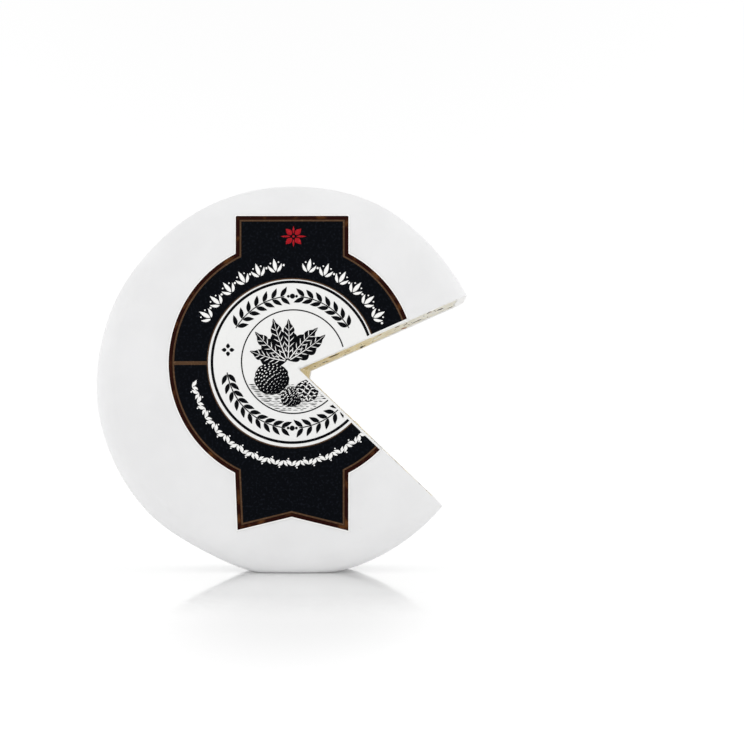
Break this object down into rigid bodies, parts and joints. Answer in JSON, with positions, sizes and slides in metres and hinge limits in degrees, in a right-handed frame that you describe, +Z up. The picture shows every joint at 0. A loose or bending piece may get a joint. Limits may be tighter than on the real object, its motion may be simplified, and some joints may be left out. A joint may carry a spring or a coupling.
{
  "type": "waxed truffle cheddar",
  "caption": "Small white-waxed wheel of truffle cheddar with a wedge cut out, standing on its rim, with a plain dark die-cut label.",
  "frame": {"origin": "on the floor, in the middle of the flat foot, under the wheel's axis and half way through its depth", "axes": "+Z up; the wheel's axis along Y with the labelled face looking along -Y; the missing wedge opens towards +X"},
  "size_m": [0.08, 0.0326, 0.0831],
  "materials": {
    "paste": "moist cut cheese, pale cream yellow with near-black truffle bits",
    "wax": "poured opaque white cheese wax, satin",
    "label_paper": "smooth printed paper, black field with a copper-brown border"
  },
  "bodies": {
    "root": {"cheddar": "paste", "wax_coat": "wax", "label": "label_paper"}
  },
  "joints": []
}
